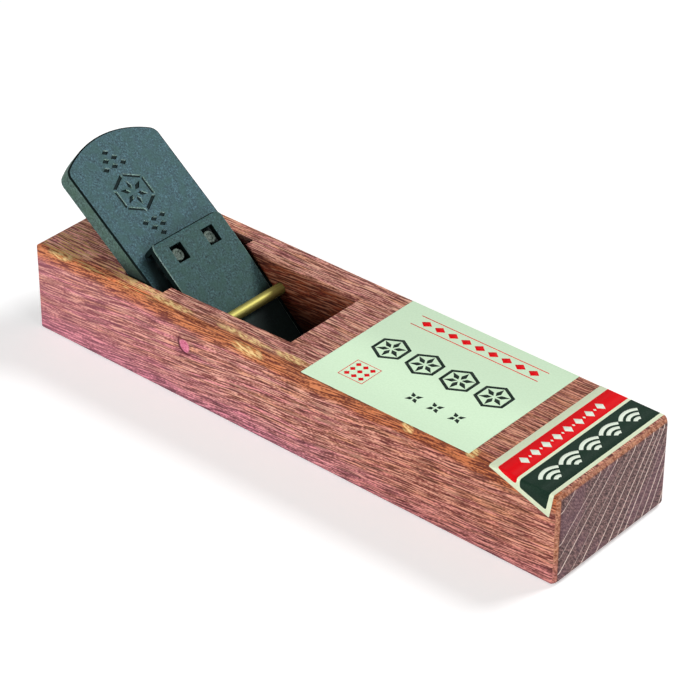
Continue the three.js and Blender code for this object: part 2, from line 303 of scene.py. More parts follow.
class Finish:
    """A material under construction, with short calls for its nodes. Its place, x, y and z
    are in millimetres, and its colours in 0 to 255 steps."""

    def __init__(self, name):
        self.material = bpy.data.materials.new(name)
        self.material.use_nodes = True
        self.tree = self.material.node_tree
        self.tree.nodes.clear()
        place = self.add("TexCoord", {})["Object"]
        self.place = self.stretch(place, 1 / MM, 1 / MM, 1 / MM)
        self.x, self.y, self.z = self.split(self.place)

    def add(self, kind, inputs, **settings):
        return add_node(self.tree, kind, inputs, **settings)

    def stretch(self, place, x, y, z, move=(0, 0, 0)):
        """The place with each axis scaled, and then moved."""
        return self.add("Mapping", {"Vector": place, "Scale": (x, y, z), "Location": move})[0]

    def join(self, *values):
        return self.add("CombineXYZ", dict(enumerate(values)))[0]

    def split(self, place):
        return self.add("SeparateXYZ", {0: place})

    def work_out(self, operation, *values):
        return self.add("Math", dict(enumerate(values)), operation=operation)[0]

    plus = partialmethod(work_out, "ADD")
    minus = partialmethod(work_out, "SUBTRACT")
    times = partialmethod(work_out, "MULTIPLY")
    over = partialmethod(work_out, "DIVIDE")
    larger = partialmethod(work_out, "MAXIMUM")
    size = partialmethod(work_out, "ABSOLUTE")

    def squares(self, first, second):
        """The squares of two values, added."""
        return self.plus(self.times(first, first), self.times(second, second))

    def distance(self, first, second):
        return self.work_out("SQRT", self.squares(first, second))

    def facing(self):
        """How much the surface faces along each axis, from 0 to 1."""
        normal = self.add("NewGeometry", {})["Normal"]
        return [self.size(part) for part in self.split(normal)]

    def noise(self, place, scale=1, detail=2, roughness=0.5):
        inputs = {"Vector": place, "Scale": scale, "Detail": detail, "Roughness": roughness}
        return self.add("TexNoise", inputs)["Fac"]

    def streaks(self, place, along, across, detail=0, roughness=0.5, move=(0, 0, 0)):
        """Noise with a scale along X and another one across it."""
        stretched = self.stretch(place, along, across, across, move)
        return self.noise(stretched, detail=detail, roughness=roughness)

    def wander(self, noise, amount):
        """A shift to either side that follows a noise."""
        return self.times(self.minus(noise, 0.5), amount)

    def reach(self, value, low, high, to_low=0, to_high=1, smooth=True):
        """The value's way from low to high, held at both ends and eased if smooth."""
        inputs = {"Value": value, "From Min": low, "From Max": high}
        inputs |= {"To Min": to_low, "To Max": to_high}
        kind = "SMOOTHSTEP" if smooth else "LINEAR"
        return self.add("MapRange", inputs, interpolation_type=kind)[0]

    def mix(self, share, first, second, how="MIX"):
        inputs = {"Factor": share, "A": linear(first), "B": linear(second)}
        settings = {"data_type": "RGBA", "blend_type": how, "clamp_factor": True}
        return self.add("Mix", inputs, **settings)["Result"]

    def ramp(self, value, *stops):
        """A colour that changes with the value, through stops of (place, colour)."""
        node = self.tree.nodes.new("ShaderNodeValToRGB")
        elements = node.color_ramp.elements
        while len(elements) < len(stops):
            elements.new(1)
        for element, (place, colour) in zip(elements, stops):
            element.position = place
            element.color = linear(colour)
        self.tree.links.new(value, node.inputs[0])
        return node.outputs[0]

    def bump(self, height, depth, strength):
        """A normal that follows the height, whose full range is depth in millimetres."""
        inputs = {"Height": height, "Distance": depth * MM, "Strength": strength}
        return self.add("Bump", inputs)[0]

    def end_in(self, shader):
        """Finishes the material with a shader."""
        self.add("OutputMaterial", {"Surface": shader})
        return self.material

    def finish(self, colour, roughness, metallic=0, normal=None, shine=0.5):
        inputs = {"Base Color": colour, "Roughness": roughness, "Metallic": metallic}
        inputs["Specular IOR Level"] = shine
        if normal is not None:
            inputs["Normal"] = normal
        return self.end_in(self.add("BsdfPrincipled", inputs)[0])


def grain_of(f):
    """Places along the wood's grain, across it and, where the wood is cut across, into it.
    The grain wanders and climbs towards the front, less so on the top face."""
    ahead, aside, above = f.facing()
    flat = f.reach(f.minus(above, aside), -0.3, -0.2)
    across = f.plus(f.z, f.times(f.minus(f.y, f.z), flat))
    depth = f.minus(f.plus(f.y, f.z), across)
    depth = f.times(depth, f.reach(ahead, 0.4, 0.5))
    slope = f.reach(f.z, *TOP_FACE, -GRAIN_CLIMB, -GRAIN_CLIMB_ON_TOP)
    sway = f.wander(f.streaks(f.place, 0.014, 0.05, detail=1), GRAIN_SWAY)
    ripple = f.wander(f.streaks(f.place, 0.07, 0.12, detail=1), GRAIN_RIPPLE)
    climb = f.plus(f.plus(sway, ripple), f.times(f.x, slope))
    return f.join(f.x, f.plus(across, climb), depth)


def long_grain(f, grain):
    """Colour and height of the faces along the grain: fine streaks on a redder ground."""
    on_top = f.reach(f.z, *TOP_FACE)
    tone = 0
    for along, across, share in ((0.09, 2, 0.4), (0.17, 2.4, 0.36), (0.9, 2.4, 0.24)):
        tone = f.plus(tone, f.times(f.streaks(grain, along, across), share))
    tone = f.reach(tone, 0.41, 0.59, smooth=False)
    colour = f.ramp(
        tone,
        (0.0, (94, 42, 38)),
        (0.3, (132, 74, 65)),
        (0.62, (163, 101, 90)),
        (1.0, (226, 168, 150)),
    )

    # Broad drifts of tan and of pink
    tan = f.streaks(grain, 0.04, 0.4, detail=2)
    colour = f.mix(f.reach(tan, 0.45, 0.65, 0, 0.6), colour, (176, 119, 84), "COLOR")
    pink = f.streaks(grain, 0.04, 0.5, detail=2, move=(7, 3, 5))
    pink = f.times(f.reach(pink, 0.46, 0.64, 0, 0.6), f.reach(f.x, *PINK_ALONG, 0.5, 1))
    pink = f.times(pink, f.reach(on_top, 0, 1, 1, 0.55))
    colour = f.mix(pink, colour, (186, 103, 119), "COLOR")

    # Pale rays and dark pores, clearer on the top face
    clear = f.reach(on_top, 0, 1, 0.4, 0.75)
    ray = f.streaks(grain, 0.08, 2.1, move=(3, 9, 2))
    ray = f.times(f.reach(ray, 0.58, 0.66), clear)
    colour = f.mix(ray, colour, (236, 184, 158))
    pore = f.streaks(grain, 0.13, 2.3, move=(1, 4, 8))
    pore = f.times(f.reach(pore, 0.58, 0.68), clear)
    colour = f.mix(pore, colour, (80, 32, 28))
    return colour, f.minus(tone, f.times(pore, 0.8))


def end_grain(f):
    """Colour of the sawn ends: straight pale rays that fan out from the tree's middle, and
    rows of pores across them."""
    aside = f.minus(f.y, PITH[0])
    below = f.minus(PITH[1], f.z)
    outward = f.distance(aside, below)
    fan = f.over(aside, below)

    def fanned(along_rays, across_rays, detail=1, roughness=0.5):
        place = f.join(f.times(outward, along_rays), f.times(fan, across_rays), 0)
        return f.noise(place, detail=detail, roughness=roughness)

    along_top = f.times(fan, PITH[1] - BLOCK_HEIGHT)
    along_top = f.plus(along_top, f.times(fanned(0.12, 30), 0.4))
    rays = 0
    for place, strength in RAYS:
        away = f.size(f.minus(along_top, NEAR_SIDE + place - PITH[0]))
        rays = f.larger(rays, f.reach(away, RAY_HALF_WIDTH, RAY_HALF_WIDTH / 3, 0, strength))
    rays = f.times(rays, f.reach(fanned(1.5, 90), 0.3, 0.55, 0.55, 1))

    pores = fanned(1.5, 26, detail=2, roughness=0.6)
    dots = f.streaks(f.place, 1, 2, detail=1)
    tone = f.plus(f.times(pores, 0.6), f.times(dots, 0.4))
    colour = f.ramp(
        f.reach(tone, 0.37, 0.63, smooth=False),
        (0.0, (50, 31, 32)),
        (0.5, (102, 75, 74)),
        (1.0, (166, 130, 124)),
    )
    violet = f.streaks(f.place, 0, 0.07, detail=1)
    colour = f.mix(f.reach(violet, 0.45, 0.65, 0, 0.35), colour, (120, 82, 98))
    return f.mix(rays, colour, (255, 234, 222))


def from_near_arris(f):
    """Distance from the near top arris: over the top face, or negative down the side."""
    return f.plus(f.minus(f.y, NEAR_SIDE), f.minus(f.z, BLOCK_HEIGHT))


def orange_band(f, colour, height, ragged):
    """A ragged orange band along the near top arris, with the grain showing in it."""
    spread = f.plus(from_near_arris(f), f.wander(ragged, ORANGE_RAGGED))
    orange = f.times(f.reach(spread, *ORANGE_DOWN), f.reach(spread, *ORANGE_OVER))
    orange = f.times(orange, f.reach(f.y, *NEAR_STRIP))
    warm = f.mix(f.reach(height, 0.1, 0.9), (100, 40, 19), (200, 118, 64))
    return f.mix(f.times(orange, 0.85), colour, warm)


def pale_chamfer(f, colour):
    """The mottled chamfer round the front end, where the grain is cut across."""
    mottled = f.streaks(f.place, 1.3, 1.3, detail=2)
    pale = f.mix(f.reach(mottled, 0.4, 0.6), (150, 92, 66), (222, 170, 140))
    return f.mix(f.reach(f.x, *CHAMFER, 0, 0.6), colour, pale)


def tints(f, colour, ragged):
    """Rosier wood at the foot and towards the head, duller wood in front, and painted shade along
    the arris round the sole."""
    upright = f.reach(f.facing()[2], 0.95, 0.7)
    foot = f.reach(f.plus(f.z, f.times(ragged, FOOT_RAGGED)), *FOOT_HEIGHT, 0, 0.75)
    foot = f.times(foot, f.reach(f.x, *FOOT_ALONG, 0.6, 1))
    foot = f.times(foot, f.reach(upright, 0, 1, 0.3, 1))
    colour = f.mix(foot, colour, (190, 116, 134), "COLOR")
    rosy = f.times(f.reach(f.z, *ROSY_HEIGHT, 0, 0.28), f.reach(f.x, *ROSY_ALONG))
    colour = f.mix(rosy, colour, (186, 112, 132))
    dull = f.times(f.reach(f.z, *DULL_HEIGHT, 0.62, 0.72), f.reach(f.x, *DULL_ALONG))
    colour = f.mix(dull, colour, (238, 218, 200), "MULTIPLY")
    # Painted shade along the arris round the sole, on the upright faces
    worn = f.times(f.reach(f.z, *SOLE_SHADE_HEIGHT, 0, 0.5), upright)
    return f.mix(worn, colour, (104, 62, 84))


def behind_blade(f, colour, grain):
    """The top face behind the blade: lifted by painted light, with yellow streaks, most at its
    near side.
    """
    behind = f.times(f.reach(f.z, *TOP_FACE), f.reach(f.x, *BEHIND_ALONG))
    # Painted light that lifts the top face behind the blade
    colour = f.mix(behind, colour, BEHIND_LIGHT_GAIN, "DODGE")
    yellow = f.streaks(grain, 0.1, 1.3, detail=1, move=(2, 5, 1))
    beside = f.times(behind, f.reach(f.y, *YELLOW_ACROSS, 0.3, 0.9))
    yellow = f.times(f.reach(yellow, 0.53, 0.59), beside)
    return f.mix(yellow, colour, (232, 186, 120))


def pale_flecks(f, colour):
    """Pale flecks near the near top arris, streaked a little across the grain."""
    arris = from_near_arris(f)
    lean = math.radians(FLECK_LEAN)
    along = f.plus(f.times(f.x, math.cos(lean)), f.times(arris, math.sin(lean)))
    across = f.minus(f.times(arris, math.cos(lean)), f.times(f.x, math.sin(lean)))
    strokes = f.join(f.times(along, 0.3), f.times(across, 1.2), 0)
    strokes = f.reach(f.noise(strokes, roughness=0.6), 0.43, 0.6)
    pale = 0
    for place, over, half_length, half_width in FLECKS:
        ahead = f.over(f.minus(f.x, place), half_length)
        aside = f.over(f.minus(arris, over), half_width)
        pale = f.larger(pale, f.reach(f.squares(ahead, aside), 1.5, 0.2))
    pale = f.times(pale, f.reach(f.y, *NEAR_STRIP))
    colour = f.mix(f.times(pale, 0.35), colour, (206, 150, 80))
    return f.mix(f.times(f.times(pale, strokes), 0.85), colour, (240, 210, 146))


def plug_glue(f, colour):
    """A crescent of glue at the lower left of the plug."""
    side = f.over(f.minus(f.x, GLUE_PLACE[0]), PLUG_RADIUS)
    rise = f.over(f.minus(f.z, GLUE_PLACE[1]), PLUG_RADIUS)
    lower_left = f.reach(f.plus(side, rise), 0.3, -0.9)
    glue = f.times(f.reach(f.distance(side, rise), 1.3, 1.2), lower_left)
    glue = f.times(glue, f.reach(f.y, NEAR_SIDE + 1, NEAR_SIDE + 0.5))
    return f.mix(f.times(glue, 0.9), colour, (84, 26, 40))


def throat_walls(f, colour, grain):
    """The throat's cut walls: partly darker wood, partly painted shade that deepens to the mouth.
    """
    inside = f.times(f.reach(f.z, *THROAT_TOP), f.reach(f.z, *THROAT_FOOT))
    inside = f.times(inside, f.reach(f.size(f.y), *THROAT_SIDE))
    # Partly the cut walls' own darker colour, partly painted shade
    colour = f.mix(inside, colour, (150, 106, 72), "MULTIPLY")
    sawn = f.streaks(grain, 0.12, 1.4, detail=1, move=(5, 2, 9))
    sawn = f.times(f.reach(sawn, 0.53, 0.61, 0, 0.62), inside)
    colour = f.mix(sawn, colour, (176, 120, 92))
    # Painted shade, deepest towards the mouth
    deep_throat_shade = f.times(f.reach(f.z, *THROAT_SHADE_HEIGHT, 0, 0.88), inside)
    return f.mix(deep_throat_shade, colour, (22, 12, 8))


def sawn_ends(f, colour):
    ends = f.times(f.reach(f.facing()[0], 0.75, 0.92), f.reach(f.size(f.x), *SAWN_END))
    return f.mix(ends, colour, end_grain(f))


def wood():
    """The block's reddish oak, with its drifts and marks."""
    f = Finish("block_wood")
    grain = grain_of(f)
    colour, height = long_grain(f, grain)
    ragged = f.streaks(grain, 0.03, 0.35, detail=3, roughness=0.65)
    colour = orange_band(f, colour, height, ragged)
    colour = pale_chamfer(f, colour)
    colour = tints(f, colour, ragged)
    colour = behind_blade(f, colour, grain)
    colour = pale_flecks(f, colour)
    colour = plug_glue(f, colour)
    colour = throat_walls(f, colour, grain)
    colour = sawn_ends(f, colour)
    roughness = f.reach(height, 0, 1, 0.66, 0.52)
    return f.finish(colour, roughness, normal=f.bump(height, 0.05, 0.5), shine=0.22)


def paint(name, middle, shine=0.13, shade_mask=None):
    """Satin paint with a fine speckle. A given function says how much painted shade each place
    gets.
    """
    f = Finish(name)
    speckle = f.noise(f.place, scale=1.6, detail=3, roughness=0.75)
    colour = f.ramp(
        f.reach(speckle, 0.32, 0.68, smooth=False),
        (0.0, [value * (1 - PAINT_CONTRAST) for value in middle]),
        (0.5, middle),
        (1.0, [value * (1 + PAINT_CONTRAST) for value in middle]),
    )
    patch = f.noise(f.place, scale=0.3)
    greener = (middle[0] * 0.94, middle[1], middle[2] * 0.9)
    colour = f.mix(f.reach(patch, 0.35, 0.7, 0, 0.7), colour, greener)
    # Painted shade: the paint darkens where the given function asks
    if shade_mask:
        colour = f.mix(shade_mask(f), colour, SHADE_COLOUR)
    return f.finish(colour, 0.62, normal=f.bump(speckle, 0.04, 0.3), shine=shine)


def holder_plate_shade(f):
    """Painted shade on the holder beside the press plate, wider lower down."""
    angle = math.radians(BED_ANGLE)
    along = f.times(f.minus(EDGE_X, f.x), math.cos(angle))
    along = f.plus(along, f.times(f.z, math.sin(angle)))
    aside = f.plus(f.size(f.y), f.reach(along, *SHADE_WIDENS_ALONG, 0, -SHADE_WIDENS))
    return f.times(f.reach(aside, *SHADE_BESIDE), f.reach(along, *SHADE_ALONG, 0, 0.93))


def side_block_shade(f):
    """Painted shade on the holder's sides near the block."""
    return f.reach(f.z, *SIDE_SHADE_HEIGHT, 0, 0.85)


def plate_toe_shade(f):
    """Painted shade on the press plate below the rod, which climbs towards the rod's far end."""
    climb = f.larger(f.minus(f.y, TOE_SHADE_CLIMB_START), 0)
    height = f.minus(f.z, f.times(climb, TOE_SHADE_CLIMB))
    return f.reach(height, *TOE_SHADE_HEIGHT, 0, 0.88)


def brass():
    """Brass with faint marks along the rod."""
    f = Finish("rod_brass")
    turned = f.noise(f.stretch(f.place, 3, 0.08, 3))
    colour = f.mix(turned, (124, 118, 56), (166, 160, 96))
    return f.finish(colour, f.reach(turned, 0.3, 0.7, 0.5, 0.6), 1)


def blade_steel():
    """Ground steel with fine scratches up the blade."""
    f = Finish("blade_steel")
    ground = f.noise(f.stretch(f.place, 0.4, 6, 0.4), detail=3)
    colour = f.mix(ground, (120.4, 126, 123.2), (140, 140, 140))
    return f.finish(colour, 0.52, 1, f.bump(ground, 0.01, 0.3))


def stud_metal():
    """Dark turned steel."""
    f = Finish("stud_steel")
    turned = f.streaks(f.place, 2, 2, detail=3)
    colour = f.mix(f.reach(turned, 0.35, 0.65), (46, 60, 56), (108, 124, 114))
    return f.finish(colour, 0.55, normal=f.bump(turned, 0.04, 0.5), shine=0.2)


def plug_wood():
    """Pinkish end of a plug, which fades into the block's colour at its upper right."""
    f = Finish("plug_wood")
    streaks = f.noise(f.stretch(f.place, 0.9, 1, 1.6), detail=3)
    pink = f.mix(f.reach(streaks, 0.35, 0.65), (176, 78, 108), (222, 132, 158))
    colour, height = long_grain(f, grain_of(f))
    away = f.distance(f.minus(f.x, PLUG_STAIN[0]), f.minus(f.z, PLUG_STAIN[1]))
    faded = f.reach(f.over(away, PLUG_STAIN_RADIUS), 0.75, 1.1)
    colour = f.mix(faded, pink, colour)
    return f.finish(colour, 0.6, normal=f.bump(height, 0.04, 0.4), shine=0.22)


def paper(name, colour, shaded):
    f = Finish(name)
    pulp = f.noise(f.place, scale=1.4, detail=4, roughness=0.7)
    tinted = f.mix(f.reach(pulp, 0.35, 0.65, 0, 0.5), colour, shaded)
    return f.finish(tinted, 0.6, normal=f.bump(pulp, 0.02, 0.2), shine=0.2)


def ink(name, colour, worn):
    f = Finish(name)
    grain = f.noise(f.place, scale=2.2, detail=3, roughness=0.7)
    tinted = f.mix(f.reach(grain, 0.4, 0.7, 0, 0.6), colour, worn)
    return f.finish(tinted, 0.55, shine=0.06)


def add_object(name, data):
    made = bpy.data.objects.new(name, data)
    bpy.context.scene.collection.objects.link(made)
    return made


def piece(name, mesh, materials, body, stands_for=()):
    """Adds a mesh to the scene as a piece of the object."""
    for material in materials:
        mesh.materials.append(material)
    made = add_object(name, mesh)
    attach(made, body)
    if stands_for:
        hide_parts(*stands_for)
    return made


def is_sharp(edge):
    """Whether the two faces of an edge turn by a sharp angle."""
    return edge.calc_face_angle(0) >= math.radians(SHARP_ANGLE)


def shade(bm):
    """Smooth shading, broken at sharp edges."""
    for face in bm.faces:
        face.smooth = True
    for edge in bm.edges:
        edge.smooth = len(edge.link_faces) == 2 and not is_sharp(edge)


def round_off(bm, rule, width, gives_way):
    """Rounds the sharp edges that a rule picks. Returns the new faces."""
    sharp = [edge for edge in bm.edges if is_sharp(edge) and rule(edge)]
    return bmesh.ops.bevel(
        bm, geom=sharp, offset=width * MM, segments=EDGE_STEPS, profile=ROUND_PROFILE,
        affect="EDGES", clamp_overlap=gives_way, loop_slide=False,
    )["faces"]


def softened(node, *groups, weld=WELD):
    """A copy of a CAD node's mesh with its flat faces whole and its sharp edges rounded.

    Each group gives a rule that picks edges, a width, whether the width gives way where it
    would not fit, and the material slot of the rounded faces."""
    bm = bmesh.new()
    bm.from_mesh(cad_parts[node].data)
    bmesh.ops.remove_doubles(bm, verts=bm.verts, dist=weld * MM)
    flat = math.radians(FLAT_ANGLE)
    bmesh.ops.dissolve_limit(bm, angle_limit=flat, verts=bm.verts, edges=bm.edges)
    for rule, width, gives_way, slot in groups:
        bm.normal_update()
        for face in round_off(bm, rule, width, gives_way):
            face.material_index = slot
    bm.normal_update()
    return bm


def even_normals(made):
    """Lets large flat faces set the shading, so that only rounded edges turn it."""
    made.modifiers.new("normals", "WEIGHTED_NORMAL").keep_sharp = True


def mesh_of(name, bm):
    """A new mesh from a bmesh, in metres."""
    mesh = bpy.data.meshes.new(name)
    bm.to_mesh(mesh)
    bm.free()
    return mesh


def dress(name, bm, materials, body, node):
    """Makes a mesh the piece that stands for a CAD node."""
    shade(bm)
    even_normals(piece(name, mesh_of(name, bm), materials, body, [node]))


def place_on_blade():
    """The blade's frame at rest: +X up from the cutting edge, +Z out of its top face."""
    angle = math.radians(BED_ANGLE)
    up = Vector((-math.cos(angle), 0, math.sin(angle)))
    out = Vector((math.sin(angle), 0, math.cos(angle)))
    edge = Vector((EDGE_X, 0, 0)) + up * EDGE_RETRACT
    turn = Matrix((up, out.cross(up), out)).transposed()
    return Matrix.Translation(edge * MM) @ turn.to_4x4() @ Matrix.Scale(MM, 4)


def around(centre, radius, angle):
    """The point at a distance from a centre, at an angle in radians."""
    return (centre[0] + radius * math.cos(angle), centre[1] + radius * math.sin(angle))


def ring(centre, outer, inner, sides, turn=0, gap=0):
    """A band round a centre, as one four-sided outline for each side."""
    outlines = []
    for i in range(sides):
        start = math.radians(turn) + 2 * math.pi * i / sides
        end = start + 2 * math.pi / sides
        along = (start + end + math.pi) / 2
        first = around(centre, gap / 2, along)
        second = around(centre, -gap / 2, along)
        outlines.append([
            around(first, inner, start), around(first, outer, start),
            around(second, outer, end), around(second, inner, end),
        ])
    return outlines


def star(centre, radius, petals, turn=0):
    """A ring of separate kite-shaped petals."""
    outlines = []
    for i in range(petals):
        angle = math.radians(turn) + 2 * math.pi * i / petals
        outlines.append([
            around(centre, radius * out, angle + math.pi / petals * aside)
            for out, aside in PETAL_SHARES
        ])
    return outlines


def arc(centre, outer, inner, start, end, steps):
    """A curved stroke round a centre, from one angle to another in degrees."""
    angles = [math.radians(start + (end - start) * i / steps) for i in range(steps + 1)]
    rim = [around(centre, outer, angle) for angle in angles]
    back = [around(centre, inner, angle) for angle in reversed(angles)]
    return [rim + back]


def diamond(centre, length, width):
    x, y = centre
    return [[(x - length / 2, y), (x, y - width / 2), (x + length / 2, y), (x, y + width / 2)]]


def bar(low, high):
    return [[low, (high[0], low[1]), high, (low[0], high[1])]]


def row(first, step, count):
    """Evenly spaced places that start at the first one."""
    return [(first[0] + i * step[0], first[1] + i * step[1]) for i in range(count)]


def rounded(corners, radii):
    """An outline with each corner rounded, or kept sharp where its radius is zero."""
    points = []
    for i, corner in enumerate(corners):
        here = Vector(corner)
        if not radii[i]:
            points.append(tuple(here))
            continue
        before = (Vector(corners[i - 1]) - here).normalized()
        after = (Vector(corners[(i + 1) % len(corners)]) - here).normalized()
        half = before.angle(after) / 2
        start = here + before * (radii[i] / math.tan(half))
        end = here + after * (radii[i] / math.tan(half))
        for step in range(CORNER_STEPS + 1):
            share = step / CORNER_STEPS
            near = start.lerp(here, share)
            far = here.lerp(end, share)
            points.append(tuple(near.lerp(far, share)))
    return points


def flat_path(x, across, lift):
    """A point on the block's top face: along, across from the middle, and above the wood."""
    return (x, across, BLOCK_HEIGHT + lift)


def wrap_path(x, across, lift):
    """A point on a sheet that wraps both long arrises. Across is 0 at the middle of the near
    fold, grows over the top face and falls below 0 down the near side."""
    fold_y = NEAR_SIDE + BLOCK_EDGE
    fold_z = BLOCK_HEIGHT - BLOCK_EDGE
    reach = BLOCK_EDGE + lift
    if across < -HALF_FOLD:
        return (x, fold_y - reach, fold_z + across + HALF_FOLD)
    if across <= HALF_FOLD:
        angle = across / FOLD_RADIUS + math.pi / 4
        return (x, fold_y - reach * math.cos(angle), fold_z + reach * math.sin(angle))
    if across <= FAR_FOLD:
        return (x, fold_y + across - HALF_FOLD, fold_z + reach)
    angle = (across - FAR_FOLD) / FOLD_RADIUS
    return (x, -fold_y + reach * math.sin(angle), fold_z + reach * math.cos(angle))


def sheet(name, outlines, path, lift, creases=()):
    """A sheet of flat outlines, laid along a path at a height above the wood."""
    bm = bmesh.new()
    for outline in outlines:
        bm.faces.new([bm.verts.new((x, y, 0)) for x, y in outline])
    for crease in creases:
        everything = [*bm.verts, *bm.edges, *bm.faces]
        bmesh.ops.bisect_plane(
            bm, geom=everything, plane_co=(0, crease, 0), plane_no=(0, 1, 0), dist=WELD
        )
    bmesh.ops.recalc_face_normals(bm, faces=bm.faces)
    for face in bm.faces:
        if face.normal.z < 0:
            face.normal_flip()
    bmesh.ops.triangulate(bm, faces=[face for face in bm.faces if len(face.verts) > 4])
    for vertex in bm.verts:
        vertex.co = Vector(path(vertex.co.x, vertex.co.y, lift)) * MM
    for face in bm.faces:
        face.smooth = True
    return mesh_of(name, bm)


def layer(name, outlines, path, lift, depth, colour, creases=(), stands_for=()):
    """A closed sheet on the block: its outer face is at the lift, and its depth below."""
    mesh = sheet(name, outlines, path, lift, creases)
    made = piece(name, mesh, [colour], "block", stands_for)
    solidify = made.modifiers.new("thickness", "SOLIDIFY")
    solidify.thickness = depth * MM
    solidify.offset = -1


def printed(name, outlines, path, height, colour, creases=()):
    """A layer of ink on a label. Heights count the layers up from the paper."""
    layer(name, outlines, path, PAPER + height * INK, INK, colour, creases)


def middle_of(edge):
    return (edge.verts[0].co + edge.verts[1].co) / 2 / MM


def plug_rim(edge):
    """Whether an edge of the block is on the round hole that the plug closes."""
    middle = middle_of(edge)
    return math.hypot(middle.x - ROD_AXIS[0], middle.z - ROD_AXIS[1]) < PLUG_RADIUS + 1


def outer_arris(edge):
    """Whether an edge of the block lies on its outside, away from the throat and rod hole."""
    middle = middle_of(edge)
    beside = abs(middle.y) > FAR_SIDE - NEARNESS
    ahead = abs(middle.x) > FRONT_END - FRONT_CHAMFER - 0.5
    return ahead or (beside and not plug_rim(edge))


def throat_edge(edge):
    return not outer_arris(edge) and not plug_rim(edge)


def dress_block(material):
    groups = (outer_arris, BLOCK_EDGE, False, 0), (throat_edge, THROAT_EDGE, True, 0)
    bm = softened("plane_block", *groups)
    dress("block_body", bm, [material], "block", "plane_block")


def on_blade(place):
    """A place of the model in the blade's own millimetres."""
    return place_on_blade().inverted() @ place


def blade_normal(normal):
    """A direction of the model in the blade's frame."""
    return place_on_blade().to_3x3().normalized().inverted() @ normal


def holder_outline(edge):
    """Whether an edge of the holder is on its outline above the cutting end's bevel."""
    ends = [on_blade(vertex.co) for vertex in edge.verts]
    margin = HOLDER_HALF_WIDTH - HOLDER_ARRIS - NEARNESS
    beside = min(abs(end.y) for end in ends) > margin and ends[0].y * ends[1].y > 0
    crown = min(end.x for end in ends) > CROWN_START
    return (beside or crown) and max(end.x for end in ends) > BEVEL_END


def top_outline(edge):
    lowest = min(on_blade(vertex.co).z for vertex in edge.verts)
    return holder_outline(edge) and lowest > HOLDER_TOP


def lower_outline(edge):
    return holder_outline(edge) and not top_outline(edge)


def off_outline(edge):
    return not holder_outline(edge)


def inset(outline, width):
    """A convex outline drawn in by a width."""
    points = [Vector(point) for point in outline]
    middle = sum(points, Vector((0, 0))) / len(points)
    drawn = []
    for i, here in enumerate(points):
        before = (here - points[i - 1]).normalized()
        after = (points[(i + 1) % len(points)] - here).normalized()
        normals = [Vector((-way.y, way.x)) for way in (before, after)]
        if normals[0].dot(middle - here) < 0:
            normals = [-normal for normal in normals]
        share = width / (1 + normals[0].dot(normals[1]))
        drawn.append(tuple(here + (normals[0] + normals[1]) * share))
    return drawn


def raised(outlines, low, high, taper):
    """Closed prisms over flat outlines, narrower at the foot."""
    bm = bmesh.new()
    for outline in outlines:
        foot = [bm.verts.new((x, y, low)) for x, y in inset(outline, taper)]
        top = [bm.verts.new((x, y, high)) for x, y in outline]
        bm.faces.new(foot)
        bm.faces.new(top)
        for i in range(len(outline)):
            j = (i + 1) % len(outline)
            bm.faces.new((foot[i], foot[j], top[j], top[i]))
    bmesh.ops.recalc_face_normals(bm, faces=bm.faces)
    return bm


def carve(made, outlines, depth, material, worn):
    """Sinks outlines in the blade's frame into a piece, with a dark finish in them that is
    painted shade, and a light one that is a painted highlight on the walls at their lower side."""
    bm = raised(outlines, -depth, depth, STAMP_TAPER)
    bm.normal_update()
    for face in bm.faces:
        # Walls facing that side get a painted highlight
        if face.normal.dot(HIGHLIGHT_SIDE) > 0.5:
            face.material_index = 1
    bm.transform(place_on_blade())
    mesh = mesh_of("carving", bm)
    mesh.materials.append(material)
    mesh.materials.append(worn)
    cutter = add_object("carving", mesh)
    cut = made.modifiers.new("carving", "BOOLEAN")
    cut.object = cutter
    cut.solver = "EXACT"
    cut.material_mode = "TRANSFER"
    bpy.context.view_layer.update()
    ready = made.evaluated_get(bpy.context.evaluated_depsgraph_get())
    carved = bpy.data.meshes.new_from_object(ready)
    made.modifiers.clear()
    made.data = carved
    bpy.data.objects.remove(cutter)


def stamp_outlines():
    """A hemp leaf star in a hexagon, with a triangle of lozenges above and below it."""
    outlines = star(STAMP_PLACE, STAMP_RADIUS * STAMP_STAR_SHARE, 6)
    rim = STAMP_RADIUS * STAMP_RIM_SHARE
    outlines += ring(STAMP_PLACE, rim, STAMP_RADIUS, 6, gap=STAMP_RIM_GAP)
    x, y = STAMP_PLACE
    for side in (-1, 1):
        for share, count in STAMP_ROW_SHARES:
            start = (x + side * STAMP_RADIUS * share, y - (count - 1) / 2 * STAMP_LOZENGE_STEP)
            for centre in row(start, (0, STAMP_LOZENGE_STEP), count):
                outlines += diamond(centre, *STAMP_LOZENGE)
    return outlines


def dress_holder(slate, arris_shade, beside, stamped, worn):
    """The holder with painted shade on its top arris, greener sides and a stamped ornament."""
    bm = softened(
        "blade_holder",
        # Rounded top outline: painted shade
        (top_outline, HOLDER_EDGE, False, 1),
        (lower_outline, HOLDER_EDGE, False, 0),
        (off_outline, SMALL_EDGE, True, 0),
        weld=HOLDER_WELD,
    )
    for face in bm.faces:
        up = blade_normal(face.normal).z
        high = on_blade(face.calc_center_median()).z > HOLDER_TOP
        # Painted shade on the bevels along the top arris
        if high and 0.4 < up < 0.95:
            face.material_index = 1
        elif abs(up) < 0.3 and face.material_index == 0:
            face.material_index = 2
    mesh = mesh_of("holder_body", bm)
    paints = [slate, arris_shade, beside]
    made = piece("holder_body", mesh, paints, "blade", ["blade_holder"])
    carve(made, stamp_outlines(), STAMP_DEPTH, stamped, worn)
    bm = bmesh.new()
    bm.from_mesh(made.data)
    shade(bm)
    bm.to_mesh(made.data)
    bm.free()
    even_normals(made)


